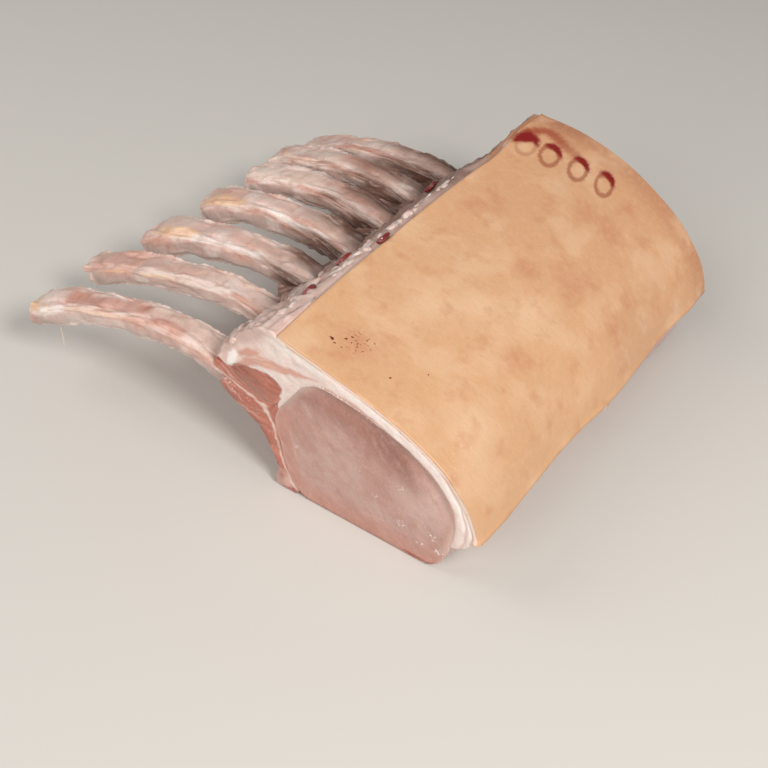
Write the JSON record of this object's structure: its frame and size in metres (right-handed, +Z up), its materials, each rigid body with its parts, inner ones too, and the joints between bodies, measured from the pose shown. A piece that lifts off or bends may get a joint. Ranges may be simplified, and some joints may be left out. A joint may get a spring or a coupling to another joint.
{
  "type": "rack of pork",
  "caption": "Raw bone-in pork loin rack: rind-on loin with long trimmed rib bones standing out of one side, lying on its flat cut base.",
  "frame": {"origin": "centre of the flat base that the meat rests on, below the middle of the rack", "axes": "+Z up, out of the base; the rack runs along Y with the shown cut face at -Y; the ribs reach out to -X and the trimmed back edge is at +X"},
  "size_m": [0.2834, 0.2581, 0.1015],
  "materials": {
    "rind": "smooth moist pig skin, light tan with pinkish mottling",
    "fat": "white back fat, waxy and moist",
    "pale_meat": "pale pink raw loin, fine grained and wet",
    "dark_meat": "darker red-brown raw muscle, wet",
    "chest_meat": "pink raw rib meat with white sinew, wet",
    "rib_bone": "scraped bone with pink scraps and membrane, moist"
  },
  "bodies": {
    "root": {"fat_cap": "rind", "loin_eye": "pale_meat", "cap_muscle": "dark_meat", "rib_meat": "chest_meat", "rib_1": "rib_bone", "rib_2": "rib_bone", "rib_3": "rib_bone", "rib_4": "rib_bone", "rib_5": "rib_bone", "rib_6": "rib_bone", "rib_7": "rib_bone"}
  },
  "joints": []
}
